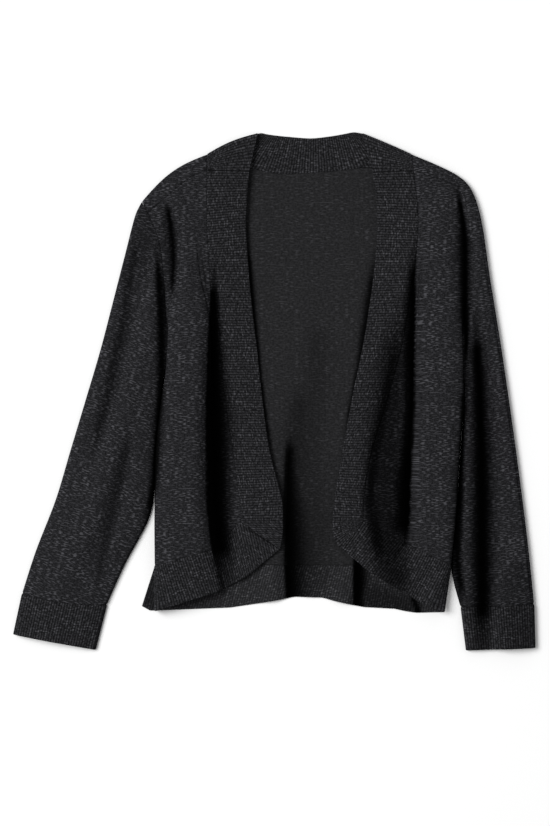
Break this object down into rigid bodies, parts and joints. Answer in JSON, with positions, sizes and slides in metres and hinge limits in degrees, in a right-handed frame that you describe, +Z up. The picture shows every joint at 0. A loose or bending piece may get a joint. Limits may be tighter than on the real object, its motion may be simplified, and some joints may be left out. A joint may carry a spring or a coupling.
{
  "type": "cardigan",
  "caption": "Cropped open-front cardigan in fine dark knit, laid flat with its long sleeves down, with rib bands along its fronts, neck, hem and cuffs and soft folds in its fronts.",
  "frame": {"origin": "centre of the whole cardigan's box in plan, at the surface it lies on", "axes": "+Z up from the surface, +Y from the hem towards the neck, +X towards the wearer's left sleeve"},
  "size_m": [0.6262, 0.621, 0.0274],
  "materials": {
    "jersey": "fine charcoal jersey knit with lighter slubs, matt",
    "rib_knit": "charcoal one-by-one rib knit, matt"
  },
  "bodies": {
    "root": {"back": "jersey", "back_hem_rib": "rib_knit", "neck_band": "rib_knit", "right_front": "jersey", "right_front_band": "rib_knit", "right_front_hem_rib": "rib_knit", "right_sleeve": "jersey", "right_cuff": "rib_knit", "left_front": "jersey", "left_front_band": "rib_knit", "left_front_hem_rib": "rib_knit", "left_sleeve": "jersey", "left_cuff": "rib_knit"}
  },
  "joints": []
}
